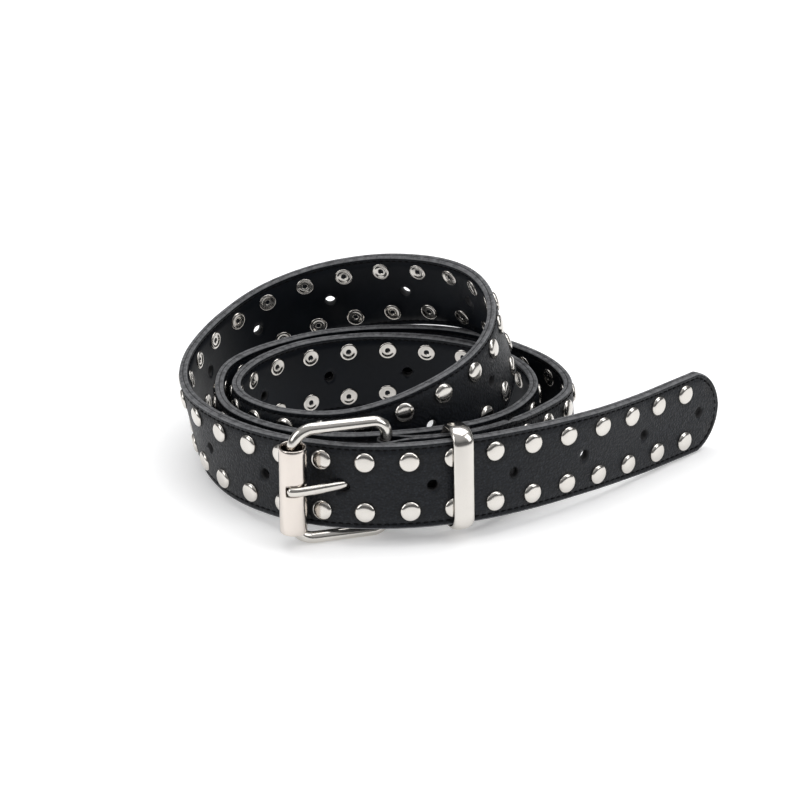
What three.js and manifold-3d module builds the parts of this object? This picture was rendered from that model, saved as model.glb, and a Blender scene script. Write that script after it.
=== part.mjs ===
// A studded leather belt, fastened and coiled up, standing on the lower edge of its strap.
// Millimetres, +Z up, the floor at Z = 0. The strap runs clockwise, seen from above, from the
// tip of its tongue, through the buckle, up over the other turns, and twice round the coil to
// the buckle's heel bar.

import * as THREE from 'three';
import { mergeVertices } from 'three/addons/utils/BufferGeometryUtils.js';
import Module from 'manifold-3d';

const wasm = await Module();
wasm.setup();

// Strap
const STRAP_WIDTH = 34;
const STRAP_THICKNESS = 3.4;
const TIP_ARC_LENGTH = 12.5;

// Coil, between the middles of the strap's thickness
const COIL_LENGTH = 154;
const COIL_DEPTH = 140;

// Studs and their rivet backs
const STUD_PITCH = 16.77;
const ROW_SPACING = 20.1;
const TIP_TO_FIRST_STUD = 20.5;
const CAP_DIAMETER = 8;
const CAP_HEIGHT = 1.5;
const BACK_DIAMETER = 7.6;
const BACK_HEIGHT = 0.6;
const RIVET_DIAMETER = 3;

// Holes: one halfway between two stud pairs, every second pitch, the first before the first pair
const HOLE_DIAMETER = 4.4;
const PRONG_HOLE_NUMBER = 5;

// Buckle frame
const BAR_DIAMETER = 4.8;
const FRAME_HEIGHT = 50.5;
const FRAME_REACH = 36.5;
const ROLLER_CORNER_RADIUS = 8;
const HEEL_CORNER_RADIUS = 5;

// The frame's place, taken from the prong hole: back along the tongue, in behind it, and turned
const HEEL_BACK = 14.3;
const HEEL_BEHIND = 9.1;
const BUCKLE_TURN = 29;

// Roller
const ROLLER_DIAMETER = 10.6;
const ROLLER_WALL = 0.6;
const ROLLER_LENGTH = 35.5;
const ROLLER_BOTTOM = 6.2;

// Prong
const PRONG_WIDTH = 3.9;
const PRONG_THICKNESS = 3;
const PRONG_EYE_WALL = 1.8;
const PRONG_RISE = 1.6;

// Keeper
const KEEPER_FROM_PRONG_HOLE = 45;
const KEEPER_WIDTH = 7.6;
const KEEPER_EDGE = 0.7;
const KEEPER_DOME = 0.6;
const KEEPER_HEIGHT = 40.5;
const KEEPER_CORNER_RADIUS = 2.4;
const KEEPER_PLAY = 1.3;
const LAYER_GAP = 5.6;

// Folded buckle end
const FOLD_REACH = 40;
const FOLD_MARGIN = 7;
const FOLD_NECK = 11;
const SLOT_REACH = 11;

// Clearances
const GAP = 0.3;
const LOOSE = 0.5;

// Fineness
const ROUTE_SAMPLES = 4000;
const TIP_STEPS = 6;
const CORNER_STEPS = 3;
const FOLD_STEPS = 5;
const FLATNESS = 0.001;

// The strap's middle line. along and across are shares of half the coil's length and depth, from
// its centre. lift is the lower edge's height as a share of the strap's width. lean is in degrees,
// the upper edge towards the inside of the coil.
const ROUTE = [
  // tongue, from its tip to the buckle
  { along: 1.76, across: 0.28, lift: 0.01, lean: 4 },
  { along: 1.42, across: -0.09, lift: 0.04, lean: 2 },
  { along: 1.1, across: -0.43, lift: 0.11, lean: 0 },
  { along: 0.75, across: -0.71, lift: 0.16, lean: 4 },
  { along: 0.37, across: -0.92, lift: 0.2, lean: 7 },
  { along: 0.03, across: -0.985, lift: 0.2, lean: 6 },
  { along: -0.3, across: -0.91, lift: 0.17, lean: 6 },
  { along: -0.56, across: -0.73, lift: 0.12, lean: 2 },
  // turn that climbs and rests on the tops of the others at the back right
  { along: -0.79, across: -0.46, lift: 0.09, lean: -4 },
  { along: -0.94, across: -0.13, lift: 0.1, lean: -11 },
  { along: -0.98, across: 0.22, lift: 0.12, lean: -10 },
  { along: -0.92, across: 0.56, lift: 0.19, lean: -4 },
  { along: -0.74, across: 0.85, lift: 0.35, lean: 1 },
  { along: -0.45, across: 0.99, lift: 0.6, lean: 6 },
  { along: -0.12, across: 1, lift: 0.82, lean: 11 },
  { along: 0.2, across: 0.89, lift: 0.96, lean: 18 },
  { along: 0.46, across: 0.68, lift: 1.02, lean: 20 },
  { along: 0.605, across: 0.34, lift: 1.02, lean: 17 },
  { along: 0.615, across: -0.03, lift: 0.9, lean: 13 },
  { along: 0.49, across: -0.37, lift: 0.75, lean: 9 },
  { along: 0.23, across: -0.6, lift: 0.56, lean: 4 },
  // inner ring
  { along: -0.1, across: -0.67, lift: 0.34, lean: 2 },
  { along: -0.42, across: -0.55, lift: 0.2, lean: 3 },
  { along: -0.66, across: -0.29, lift: 0.1, lean: 3 },
  { along: -0.745, across: 0.06, lift: 0.02, lean: 1 },
  { along: -0.65, across: 0.37, lift: 0, lean: 0 },
  { along: -0.43, across: 0.6, lift: 0, lean: -1 },
  { along: -0.11, across: 0.73, lift: 0, lean: 1 },
  { along: 0.23, across: 0.74, lift: 0, lean: 7 },
  { along: 0.54, across: 0.61, lift: 0, lean: 8 },
  { along: 0.76, across: 0.34, lift: 0, lean: 7 },
  { along: 0.81, across: 0, lift: 0, lean: 5 },
  { along: 0.68, across: -0.31, lift: 0.01, lean: 3 },
  // outer ring, and on towards the buckle
  { along: 0.47, across: -0.57, lift: 0.09, lean: 2 },
  { along: 0.13, across: -0.74, lift: 0.14, lean: 2 },
  { along: -0.22, across: -0.76, lift: 0.13, lean: 1 },
  { along: -0.54, across: -0.59, lift: 0.08, lean: 1 },
  { along: -0.76, across: -0.31, lift: 0.03, lean: 1 },
  { along: -0.83, across: 0.03, lift: 0, lean: 0 },
  { along: -0.79, across: 0.33, lift: 0, lean: 0 },
  { along: -0.6, across: 0.58, lift: 0, lean: 0 },
  { along: -0.32, across: 0.77, lift: 0, lean: 0 },
  { along: 0.05, across: 0.85, lift: 0, lean: 0 },
  { along: 0.41, across: 0.81, lift: 0, lean: 1 },
  { along: 0.72, across: 0.6, lift: 0, lean: 3 },
  { along: 0.93, across: 0.31, lift: 0, lean: 4 },
  { along: 0.98, across: -0.02, lift: 0, lean: 4 },
  { along: 0.85, across: -0.29, lift: 0.02, lean: 4 },
  { along: 0.63, across: -0.63, lift: 0.13, lean: 4 },
];

// The prong's middle line: reach from the heel bar towards the roller as a share of the frame's
// reach, and how far it stands out in front of the frame's plane as a share of the roller's radius.
const PRONG_LINE = [
  { reach: 0.1, out: -0.2 },
  { reach: 0.22, out: -0.23 },
  { reach: 0.37, out: 0.06 },
  { reach: 0.56, out: 0.44 },
  { reach: 0.77, out: 0.74 },
  { reach: 0.93, out: 0.93 },
  { reach: 1.03, out: 0.92 },
  { reach: 1.09, out: 0.78 },
];

const UP = new THREE.Vector3(0, 0, 1);

const holeDistance = (number) => TIP_TO_FIRST_STUD + (2 * number - 0.5) * STUD_PITCH;
const PRONG_HOLE_DISTANCE = holeDistance(PRONG_HOLE_NUMBER);
const LAYER = (STRAP_THICKNESS - GAP) / 2;
const LAYER_OFFSET = (LAYER + GAP) / 2;
const LOOP_RADIUS = BAR_DIAMETER / 2 + LOOSE + LAYER / 2;

// Geometry helpers

// A closed body through a row of rings, each a list of points anticlockwise about the direction
// in which the rings follow each other. A looped body joins its last ring to its first.
function loft(rings, looped = false) {
  const count = rings[0].length;
  const positions = rings.flat().flatMap((point) => [point.x, point.y, point.z]);
  const triangles = [];
  const spans = looped ? rings.length : rings.length - 1;
  for (let i = 0; i < spans; i += 1) {
    const here = i * count;
    const next = ((i + 1) % rings.length) * count;
    for (let j = 0; j < count; j += 1) {
      const k = (j + 1) % count;
      triangles.push(here + j, here + k, next + k, here + j, next + k, next + j);
    }
  }
  if (!looped) {
    const last = (rings.length - 1) * count;
    for (let j = 1; j < count - 1; j += 1) {
      triangles.push(0, j + 1, j, last, last + j, last + j + 1);
    }
  }
  const geometry = new THREE.BufferGeometry();
  geometry.setAttribute('position', new THREE.Float32BufferAttribute(positions, 3));
  geometry.setIndex(triangles);
  return geometry;
}

// A point at given distances along two directions from a place.
function offset(place, first, x, second, y) {
  return place.clone().addScaledVector(first, x).addScaledVector(second, y);
}

// A regular ring whose flats stand at the given radius, round the axis first x second.
function polygon(centre, first, second, radius, sides, squash = 1) {
  const corner = radius / Math.cos(Math.PI / sides);
  return Array.from({ length: sides }, (_, i) => {
    const angle = ((i + 0.5) * 2 * Math.PI) / sides;
    return offset(centre, first, corner * Math.cos(angle), second, corner * squash * Math.sin(angle));
  });
}

// A body turned about an axis through a place, from rows of radius and height.
function turned(place, first, second, axis, rows, sides) {
  return loft(rows.map(([radius, height]) => {
    const centre = place.clone().addScaledVector(axis, height);
    return polygon(centre, first, second, radius, sides);
  }));
}

function solid(geometry) {
  const bare = geometry.clone();
  bare.deleteAttribute('normal');
  bare.deleteAttribute('uv');
  const merged = mergeVertices(bare, 1e-5);
  return new wasm.Manifold(new wasm.Mesh({
    numProp: 3,
    vertProperties: new Float32Array(merged.attributes.position.array),
    triVerts: new Uint32Array(merged.index.array),
  }));
}

function geometryOf(manifold) {
  const mesh = manifold.asOriginal().simplify(FLATNESS).getMesh();
  const geometry = new THREE.BufferGeometry();
  geometry.setAttribute('position', new THREE.Float32BufferAttribute(mesh.vertProperties, 3));
  geometry.setIndex(Array.from(mesh.triVerts));
  const flat = geometry.toNonIndexed();
  flat.computeVertexNormals();
  return flat;
}

// Route of the strap

// A natural cubic spline through values at rising knots.
function naturalSpline(knots, values) {
  const last = knots.length - 1;
  const bend = new Array(last + 1).fill(0);
  const ratio = new Array(last + 1).fill(0);
  for (let i = 1; i < last; i += 1) {
    const before = knots[i] - knots[i - 1];
    const after = knots[i + 1] - knots[i];
    const rise = (values[i + 1] - values[i]) / after - (values[i] - values[i - 1]) / before;
    const pivot = 2 * (before + after) - before * ratio[i - 1];
    ratio[i] = after / pivot;
    bend[i] = (6 * rise - before * bend[i - 1]) / pivot;
  }
  for (let i = last - 1; i > 0; i -= 1) {
    bend[i] -= ratio[i] * bend[i + 1];
  }
  return (knot) => {
    let i = 1;
    while (i < last && knots[i] < knot) {
      i += 1;
    }
    const span = knots[i] - knots[i - 1];
    const a = (knots[i] - knot) / span;
    const b = 1 - a;
    const curve = ((a ** 3 - a) * bend[i - 1] + (b ** 3 - b) * bend[i]) * (span ** 2 / 6);
    return a * values[i - 1] + b * values[i] + curve;
  };
}

// The strap's middle surface through rows of x, y, lift and lean. The route gives, at a distance
// from the tip, the place, the direction of travel, the way up across the strap and the way out
// of its studded face.
function makeRoute(rows) {
  const knots = [0];
  for (let i = 1; i < rows.length; i += 1) {
    const from = rows[i - 1];
    const to = rows[i];
    knots.push(knots[i - 1] + Math.hypot(to.x - from.x, to.y - from.y, to.lift - from.lift));
  }
  const spline = (name) => naturalSpline(knots, rows.map((row) => row[name]));
  const x = spline('x');
  const y = spline('y');
  const lift = spline('lift');
  const lean = spline('lean');
  const samples = [];
  let distance = 0;
  for (let i = 0; i <= ROUTE_SAMPLES; i += 1) {
    const knot = (knots[knots.length - 1] * i) / ROUTE_SAMPLES;
    const tilt = THREE.MathUtils.degToRad(lean(knot));
    const middle = (STRAP_WIDTH * Math.cos(tilt) + STRAP_THICKNESS * Math.abs(Math.sin(tilt))) / 2;
    const place = new THREE.Vector3(x(knot), y(knot), lift(knot) + middle);
    distance += i > 0 ? place.distanceTo(samples[i - 1].place) : 0;
    samples.push({ distance, place, tilt });
  }
  function at(wanted) {
    let low = 0;
    let high = ROUTE_SAMPLES;
    while (high - low > 1) {
      const half = (low + high) >> 1;
      if (samples[half].distance > wanted) {
        high = half;
      } else {
        low = half;
      }
    }
    const from = samples[low];
    const to = samples[high];
    const share = (wanted - from.distance) / (to.distance - from.distance);
    const place = from.place.clone().lerp(to.place, share);
    const tilt = from.tilt + (to.tilt - from.tilt) * share;
    const before = samples[Math.max(low - 1, 0)].place;
    const after = samples[Math.min(high + 1, ROUTE_SAMPLES)].place;
    const travel = after.clone().sub(before).normalize();
    const inward = travel.clone().cross(UP).normalize();
    const upright = inward.clone().cross(travel);
    const up = upright.multiplyScalar(Math.cos(tilt)).addScaledVector(inward, Math.sin(tilt));
    const out = up.clone().cross(travel);
    return { place, travel, up, out, lean: THREE.MathUtils.radToDeg(tilt) };
  }
  return { at, length: distance };
}

function tableRows() {
  return ROUTE.map((row) => ({
    x: (row.along * COIL_LENGTH) / 2,
    y: (row.across * COIL_DEPTH) / 2,
    lift: row.lift * STRAP_WIDTH,
    lean: row.lean,
  }));
}

// The buckle stands upright. Its directions are towards the roller, out in front, and up.
function buckleFrame(tongue) {
  const hole = tongue.at(PRONG_HOLE_DISTANCE);
  const ahead = hole.travel.clone().setZ(0).normalize();
  const front = UP.clone().cross(ahead);
  const heel = offset(hole.place, ahead, -HEEL_BACK, front, -HEEL_BEHIND);
  const turn = THREE.MathUtils.degToRad(BUCKLE_TURN);
  const reach = ahead.clone().multiplyScalar(Math.cos(turn)).addScaledVector(front, Math.sin(turn));
  const out = UP.clone().cross(reach);
  const prongHeight = hole.place.z;
  return { heel: heel.setZ(0), reach, out, prongHeight };
}

// The strap's last two rows lie behind the tongue at the keeper and at the heel bar.
function buckleEndRows(tongue, buckle) {
  const keeper = tongue.at(PRONG_HOLE_DISTANCE - KEEPER_FROM_PRONG_HOLE);
  const behind = keeper.place.clone().addScaledVector(keeper.out, -LAYER_GAP);
  const halfHeight = (STRAP_WIDTH * Math.cos(THREE.MathUtils.degToRad(keeper.lean))) / 2;
  return [
    { x: behind.x, y: behind.y, lift: behind.z - halfHeight, lean: keeper.lean },
    { x: buckle.heel.x, y: buckle.heel.y, lift: buckle.prongHeight - STRAP_WIDTH / 2, lean: 0 },
  ];
}

const tongueRoute = makeRoute(tableRows());
const buckle = buckleFrame(tongueRoute);
const route = makeRoute([...tableRows(), ...buckleEndRows(tongueRoute, buckle)]);

const STUD_PAIRS = Math.floor((route.length - FOLD_REACH - TIP_TO_FIRST_STUD) / STUD_PITCH) + 1;
const studDistance = (number) => TIP_TO_FIRST_STUD + number * STUD_PITCH;
const RETURN_LENGTH = route.length - studDistance(STUD_PAIRS - 1) + FOLD_MARGIN;
const LAST_SEAT = Math.floor(
  (route.length - FOLD_NECK - STUD_PITCH / 2 - TIP_TO_FIRST_STUD) / STUD_PITCH,
);

// Strap

// The two faces of the strap, as distances out of its middle surface, at a distance from the bar.
// Where the strap is folded they are the faces of one layer.
function faces(fromBar) {
  if (fromBar > RETURN_LENGTH + LOOSE) {
    return { outer: STRAP_THICKNESS / 2, inner: -STRAP_THICKNESS / 2 };
  }
  const reach = THREE.MathUtils.clamp(1 - fromBar / FOLD_NECK, 0, 1);
  const spread = LAYER_OFFSET + (LOOP_RADIUS - LAYER_OFFSET) * reach * reach * (3 - 2 * reach);
  return { outer: spread + LAYER / 2, inner: spread - LAYER / 2 };
}

// A ring of a flat section, with its faces at distances along a direction.
function sectionRing(place, up, out, halfWidth, { outer, inner }) {
  return [
    offset(place, out, outer, up, -halfWidth),
    offset(place, out, outer, up, halfWidth),
    offset(place, out, inner, up, halfWidth),
    offset(place, out, inner, up, -halfWidth),
  ];
}

// The strap's ring at a distance from the tip. side is 1 on the way out and -1 for the fold's
// inner layer, which comes back along the same route.
function strapRing(distance, side = 1, halfWidth = STRAP_WIDTH / 2) {
  const { place, up, out } = route.at(distance);
  return sectionRing(place, up, out.multiplyScalar(side), halfWidth, faces(route.length - distance));
}

// The strap is straight for a quarter pitch on either side of each stud pair.
function straightRings(number, side = 1) {
  const { place, travel, up, out } = route.at(studDistance(number));
  const spread = faces(route.length - studDistance(number));
  out.multiplyScalar(side);
  return [-1, 1].map((end) => {
    const centre = place.clone().addScaledVector(travel, (end * STUD_PITCH) / 4);
    return sectionRing(centre, up, out, STRAP_WIDTH / 2, spread);
  });
}

// The tongue's tip is a broad arc that meets the edges at slight corners.
function tipRings() {
  const halfWidth = STRAP_WIDTH / 2;
  const radius = (halfWidth ** 2 + TIP_ARC_LENGTH ** 2) / (2 * TIP_ARC_LENGTH);
  const whole = Math.asin(halfWidth / radius);
  const rings = [];
  for (let i = 0; i < TIP_STEPS; i += 1) {
    const angle = (whole * (i + 0.5)) / TIP_STEPS;
    rings.push(strapRing(radius * (1 - Math.cos(angle)), 1, radius * Math.sin(angle)));
  }
  return [...rings, strapRing(TIP_ARC_LENGTH)];
}

// One layer of the fold, towards the heel bar.
function foldRings(side) {
  const start = RETURN_LENGTH + (side > 0 ? LOOSE : 0);
  const rings = [strapRing(route.length - start, side)];
  for (let number = STUD_PAIRS - 1; number <= LAST_SEAT; number += 1) {
    rings.push(...straightRings(number, side));
  }
  for (let i = 0; i <= FOLD_STEPS; i += 1) {
    rings.push(strapRing(route.length - FOLD_NECK * (1 - i / FOLD_STEPS), side));
  }
  return rings;
}

// The half turn round the upright heel bar, between the layers.
function loopRings() {
  const { place, travel, out } = route.at(route.length);
  const rings = [];
  for (let i = 1; i < FOLD_STEPS; i += 1) {
    const angle = (Math.PI * i) / FOLD_STEPS;
    const outward = out.clone().multiplyScalar(Math.cos(angle));
    outward.addScaledVector(travel, Math.sin(angle));
    outward.setZ(0).normalize();
    rings.push(sectionRing(place, UP, outward, STRAP_WIDTH / 2, faces(0)));
  }
  return rings;
}

function strapRings() {
  const rings = tipRings();
  for (let number = 0; number < STUD_PAIRS - 1; number += 1) {
    rings.push(...straightRings(number));
  }
  return [...rings, ...foldRings(1), ...loopRings(), ...foldRings(-1).reverse()];
}

// One stud: a domed cap outside and a flat rivet back inside, joined by its rivet.
function stud(seat, across) {
  const place = seat.place.clone().addScaledVector(seat.up, across);
  const face = STRAP_THICKNESS / 2;
  const capRadius = CAP_DIAMETER / 2;
  const cap = [
    [capRadius, face - GAP],
    [capRadius * 0.55, face + CAP_HEIGHT],
  ];
  const back = [
    [BACK_DIAMETER / 2, -face - BACK_HEIGHT],
    [BACK_DIAMETER / 2, -face + GAP],
  ];
  const rivet = [
    [RIVET_DIAMETER / 2, -face],
    [RIVET_DIAMETER / 2, face],
  ];
  const { travel, up, out } = seat;
  const side = travel.clone().negate();
  return [
    solid(turned(place, side, up, out, cap, 8)),
    solid(turned(place, side, up, out, back, 6)),
    solid(turned(place, side, up, out, rivet, 6)),
  ];
}

function studs() {
  const pieces = [];
  for (let number = 0; number < STUD_PAIRS; number += 1) {
    const seat = route.at(studDistance(number));
    pieces.push(...stud(seat, ROW_SPACING / 2), ...stud(seat, -ROW_SPACING / 2));
  }
  return pieces;
}

function holes() {
  const pieces = [];
  const depth = STRAP_THICKNESS / 2 + LOOSE;
  const rows = [
    [HOLE_DIAMETER / 2, -depth],
    [HOLE_DIAMETER / 2, depth],
  ];
  const lastStud = studDistance(STUD_PAIRS - 1);
  for (let number = 0; holeDistance(number) < lastStud; number += 1) {
    const { place, travel, up, out } = route.at(holeDistance(number));
    pieces.push(solid(turned(place, travel.clone().negate(), up, out, rows, 6)));
  }
  return pieces;
}

// The slot in the fold, through which the prong's eye and shank pass.
function slot() {
  const { place, travel, up, out } = route.at(route.length);
  const half = PRONG_WIDTH / 2 + LOOSE;
  const depth = LOOP_RADIUS + LAYER;
  const ring = (distance) => {
    const centre = place.clone().addScaledVector(travel, distance);
    return sectionRing(centre, up, out, half, { outer: depth, inner: -depth });
  };
  return solid(loft([ring(-SLOT_REACH), ring(depth)]));
}

function strap() {
  const band = solid(loft(strapRings()));
  const body = band.add(wasm.Manifold.union(studs()));
  const cuts = [...holes(), slot(), prongShank(GAP)];
  return body.subtract(wasm.Manifold.union(cuts));
}

// Buckle

// A rounded rectangle as points with their directions, anticlockwise from first to second.
function roundedLoop(centre, first, second, corners) {
  const points = [];
  corners.forEach(({ x, y, radius, start }) => {
    const signX = Math.sign(x);
    const signY = Math.sign(y);
    for (let i = 0; i <= CORNER_STEPS; i += 1) {
      const angle = start + (Math.PI / 2) * (i / CORNER_STEPS);
      const place = offset(
        centre,
        first,
        x - signX * radius + radius * Math.cos(angle),
        second,
        y - signY * radius + radius * Math.sin(angle),
      );
      const outward = first.clone().multiplyScalar(Math.cos(angle));
      outward.addScaledVector(second, Math.sin(angle));
      points.push({ place, outward });
    }
  });
  return points;
}

// The four corners of a rectangle about its centre, in turn, with their radii.
function rectangleCorners(halfX, halfY, radiusRight, radiusLeft) {
  return [
    { x: halfX, y: halfY, radius: radiusRight, start: 0 },
    { x: -halfX, y: halfY, radius: radiusLeft, start: Math.PI / 2 },
    { x: -halfX, y: -halfY, radius: radiusLeft, start: Math.PI },
    { x: halfX, y: -halfY, radius: radiusRight, start: 1.5 * Math.PI },
  ];
}

function frameBar() {
  const middle = buckle.heel.clone().addScaledVector(buckle.reach, FRAME_REACH / 2);
  middle.setZ(FRAME_HEIGHT / 2);
  const halfHeight = (FRAME_HEIGHT - BAR_DIAMETER) / 2;
  const corners = rectangleCorners(FRAME_REACH / 2, halfHeight, ROLLER_CORNER_RADIUS, HEEL_CORNER_RADIUS);
  const loop = roundedLoop(middle, buckle.reach, UP, corners);
  return solid(loft(loop.map(({ place, outward }) => {
    return polygon(place, outward, buckle.out, BAR_DIAMETER / 2, 8);
  }), true));
}

function rollerTube() {
  const axis = buckle.heel.clone().addScaledVector(buckle.reach, FRAME_REACH);
  const tube = (radius, low, high) => {
    const rows = [[radius, low], [radius, high]];
    return solid(turned(axis, buckle.reach, buckle.out, UP, rows, 16));
  };
  const top = ROLLER_BOTTOM + ROLLER_LENGTH;
  const radius = ROLLER_DIAMETER / 2;
  const hollow = tube(radius - ROLLER_WALL, ROLLER_BOTTOM - 1, top + 1);
  return tube(radius, ROLLER_BOTTOM, top).subtract(hollow).subtract(notch(axis, radius));
}

// The notch in the roller's front, in which the prong rests.
function notch(axis, radius) {
  const half = PRONG_WIDTH / 2 + LOOSE;
  const middle = axis.clone().setZ(buckle.prongHeight + PRONG_RISE);
  const ring = (along) => {
    const place = middle.clone().addScaledVector(buckle.reach, along);
    return sectionRing(place, UP, buckle.out, half, { outer: 2 * radius, inner: radius / 2 });
  };
  return solid(loft([ring(-radius), ring(radius)]));
}

// The prong's shank, thickened all round by a clearance where it is used as a cut.
function prongShank(clearance = 0) {
  const reachOf = (row) => row.reach * FRAME_REACH;
  const outOf = (row) => (row.out * ROLLER_DIAMETER) / 2;
  const first = reachOf(PRONG_LINE[0]);
  const length = reachOf(PRONG_LINE[PRONG_LINE.length - 1]) - first;
  const points = PRONG_LINE.map((row) => {
    const place = offset(buckle.heel, buckle.reach, reachOf(row), buckle.out, outOf(row));
    const rise = (PRONG_RISE * (reachOf(row) - first)) / length;
    return place.setZ(buckle.prongHeight + rise);
  });
  const last = points.length - 1;
  const halfWidth = PRONG_WIDTH / 2 + clearance;
  const halfThickness = PRONG_THICKNESS / 2 + clearance;
  const rings = points.map((place, i) => {
    const travel = points[Math.min(i + 1, last)].clone().sub(points[Math.max(i - 1, 0)]);
    travel.setZ(0).normalize();
    const front = UP.clone().cross(travel);
    const taper = i === last ? 0.6 : 1;
    const squash = halfWidth / halfThickness;
    return polygon(place, front, UP, halfThickness * taper, 8, squash);
  });
  return solid(loft(rings));
}

function prongBody() {
  const radius = BAR_DIAMETER / 2 + GAP;
  const half = PRONG_WIDTH / 2;
  const centre = buckle.heel.clone().setZ(buckle.prongHeight);
  const disc = (size, height) => {
    const rows = [[size, -height], [size, height]];
    return solid(turned(centre, buckle.reach, buckle.out, UP, rows, 16));
  };
  const eye = disc(radius + PRONG_EYE_WALL, half);
  return eye.add(prongShank()).subtract(disc(radius, half + 1));
}

// Keeper: a band of D section round the tongue, its studs and the strap behind it.
function keeperBand() {
  const seat = route.at(PRONG_HOLE_DISTANCE - KEEPER_FROM_PRONG_HOLE);
  const front = STRAP_THICKNESS / 2 + CAP_HEIGHT + GAP;
  const back = -LAYER_GAP - STRAP_THICKNESS / 2 - LOOSE;
  const wall = KEEPER_EDGE + KEEPER_DOME;
  const halfHeight = KEEPER_HEIGHT / 2 - wall;
  const rise = halfHeight - STRAP_WIDTH / 2 - KEEPER_PLAY;
  const middle = offset(seat.place, seat.out, (front + back) / 2, seat.up, rise);
  const halfDepth = (front - back) / 2;
  const corners = rectangleCorners(halfDepth, halfHeight, KEEPER_CORNER_RADIUS, KEEPER_CORNER_RADIUS);
  const side = seat.travel.clone().negate();
  const half = KEEPER_WIDTH / 2;
  const section = [
    [0, -half],
    [KEEPER_EDGE, -half],
    [wall, -half * 0.4],
    [wall, half * 0.4],
    [KEEPER_EDGE, half],
    [0, half],
  ];
  return solid(loft(roundedLoop(middle, seat.out, seat.up, corners).map(({ place, outward }) => {
    return section.map(([thick, wide]) => offset(place, outward, thick, side, wide));
  }), true));
}

// Assembly

const LEATHER = { color: 0x17181b, roughness: 0.6, metalness: 0 };
const NICKEL = { color: 0xd8d4cc, roughness: 0.2, metalness: 1 };

const nodes = [
  { name: 'strap', body: strap(), finish: LEATHER },
  { name: 'buckle_frame', body: frameBar(), finish: NICKEL },
  { name: 'roller', body: rollerTube(), finish: NICKEL },
  { name: 'prong', body: prongBody(), finish: NICKEL },
  { name: 'keeper', body: keeperBand(), finish: NICKEL },
];

const group = new THREE.Group();
nodes.forEach(({ name, body, finish }) => {
  const mesh = new THREE.Mesh(geometryOf(body), new THREE.MeshStandardMaterial(finish));
  mesh.name = name;
  group.add(mesh);
});

// The origin is the middle of the belt's footprint, on the floor.
const box = new THREE.Box3().setFromObject(group);
const centre = box.getCenter(new THREE.Vector3());
group.children.forEach((mesh) => mesh.geometry.translate(-centre.x, -centre.y, -box.min.z));

export default group;
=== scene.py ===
"""A studded leather belt, fastened and coiled up, standing on the lower edge of its strap."""

import math

import bpy
import bmesh
import numpy as np
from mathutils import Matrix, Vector

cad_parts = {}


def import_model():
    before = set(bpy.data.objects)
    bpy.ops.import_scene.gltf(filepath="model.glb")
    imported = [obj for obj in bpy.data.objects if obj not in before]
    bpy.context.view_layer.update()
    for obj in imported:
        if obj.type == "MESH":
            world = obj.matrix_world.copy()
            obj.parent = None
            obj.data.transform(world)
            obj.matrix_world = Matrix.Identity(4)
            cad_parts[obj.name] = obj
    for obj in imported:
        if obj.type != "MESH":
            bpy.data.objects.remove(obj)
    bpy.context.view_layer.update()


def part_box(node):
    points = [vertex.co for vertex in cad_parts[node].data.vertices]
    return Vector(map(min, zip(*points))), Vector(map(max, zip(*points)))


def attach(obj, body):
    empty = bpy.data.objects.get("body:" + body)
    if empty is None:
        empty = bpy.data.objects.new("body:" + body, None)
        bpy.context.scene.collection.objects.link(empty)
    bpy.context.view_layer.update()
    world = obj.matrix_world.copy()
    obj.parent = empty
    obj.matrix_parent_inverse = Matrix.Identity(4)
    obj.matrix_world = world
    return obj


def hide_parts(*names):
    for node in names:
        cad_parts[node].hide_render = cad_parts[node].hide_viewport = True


# Sizes in millimetres. MM turns them into metres where meshes are made.
MM = 0.001

STRAP_WIDTH = 34.0
STRAP_THICKNESS = 3.4
TIP_ARC_LENGTH = 12.5
COIL_LENGTH = 154.0
COIL_DEPTH = 140.0

STUD_PITCH = 16.77
ROW_SPACING = 20.1
TIP_TO_FIRST_STUD = 20.5
CAP_DIAMETER = 8.0
CAP_HEIGHT = 1.5
BACK_DIAMETER = 7.6
BACK_HEIGHT = 0.6
HOLE_DIAMETER = 4.4
PRONG_HOLE_NUMBER = 5

BAR_DIAMETER = 4.8
FRAME_HEIGHT = 50.5
FRAME_REACH = 36.5
ROLLER_CORNER_RADIUS = 8.0
HEEL_CORNER_RADIUS = 5.6
HEEL_BACK = 14.3
HEEL_BEHIND = 9.1
BUCKLE_TURN = 29.0

ROLLER_DIAMETER = 10.6
ROLLER_WALL = 0.6
ROLLER_LENGTH = 35.5
ROLLER_BOTTOM = 6.2
ROLLER_SEAM = 0.3
NOTCH_GAP = 0.12
NOTCH_SHIFT = 0.6
NOTCH_END = 0.4
NOTCH_CORNER_RADIUS = 0.9

PRONG_WIDTH = 3.9
PRONG_THICKNESS = 3.0
PRONG_EYE_WALL = 1.8
PRONG_RISE = 1.6

KEEPER_FROM_PRONG_HOLE = 45.0
KEEPER_WIDTH = 8.6
KEEPER_EDGE = 0.7
KEEPER_DOME = 1.2
KEEPER_HEIGHT = 40.5
KEEPER_FRONT_RADIUS = 5.0
KEEPER_BACK_RADIUS = 2.4
KEEPER_PLAY = 1.3
LAYER_GAP = 5.6

FOLD_REACH = 40.0
FOLD_MARGIN = 7.0
FOLD_NECK = 11.0
SLOT_REACH = 11.0
GAP = 0.3
LOOSE = 0.5
FOLD_PLAY = 0.3
FOLD_PRESS = 0.65
FOLD_PRESS_FROM = 6.0

# Leather details. The seam's groove ends where the tip is narrower than LEAST_SEAM.
EDGE_ROUNDING = 0.7
PLY_GROOVE = 0.22
LEAST_WIDTH = 0.4
LEAST_SEAM = 2.0
SEAM_LIP = 0.5
SLOW_WAVER = 0.045
FAST_WAVER = 0.03
PRONG_HOLE_STRETCH = 1.3
STITCH_MARGIN = 2.1
STITCH_PITCH = 2.9
STITCH_LENGTH = 1.9
STITCH_THICKNESS = 0.7
STITCH_GROOVE = 0.3

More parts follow.
